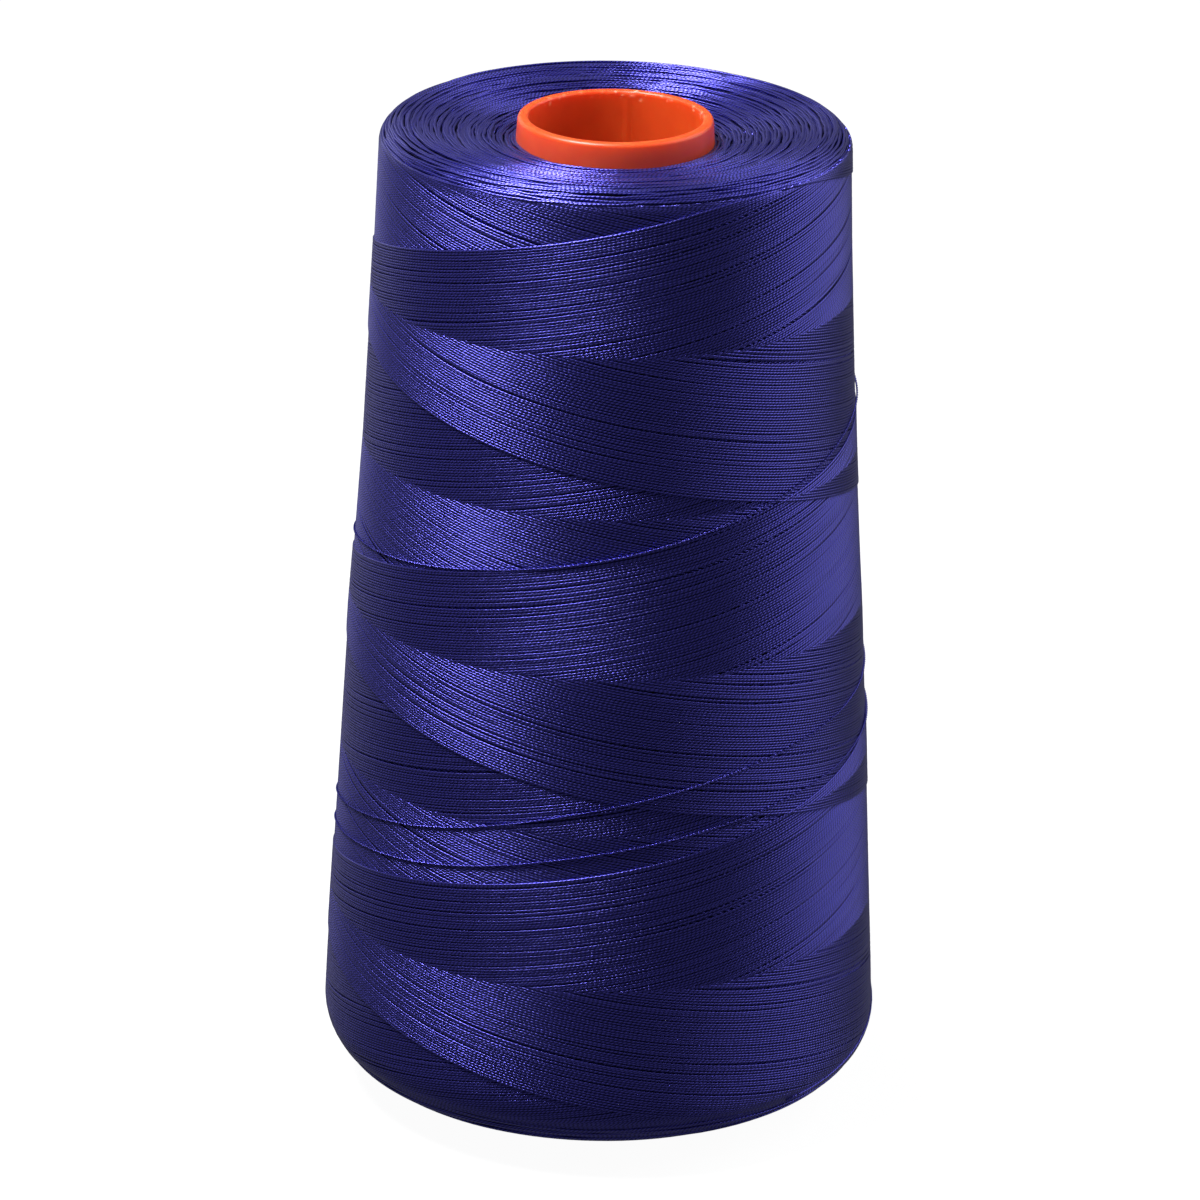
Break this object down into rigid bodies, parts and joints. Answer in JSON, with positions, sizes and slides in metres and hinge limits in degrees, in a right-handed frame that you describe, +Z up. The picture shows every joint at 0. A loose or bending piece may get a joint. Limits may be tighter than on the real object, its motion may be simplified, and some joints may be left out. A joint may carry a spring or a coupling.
{
  "type": "spool of thread",
  "caption": "Tapered package of cross-wound violet sewing thread on an open orange plastic cone, with a rounded nose ring showing at the top.",
  "frame": {"origin": "centre of the core's foot ring, on the plane that the spool stands on", "axes": "+Z up along the spool's axis, towards the nose; the front of the winding faces -Y"},
  "size_m": [0.064, 0.064, 0.1166],
  "materials": {
    "core_plastic": "satin moulded polypropylene, orange",
    "thread": "mercerised two-ply cotton sewing thread, blue-violet, soft sheen"
  },
  "bodies": {
    "root": {"core_cone": "core_plastic", "thread_package": "thread", "outer_turns": "thread"}
  },
  "joints": []
}
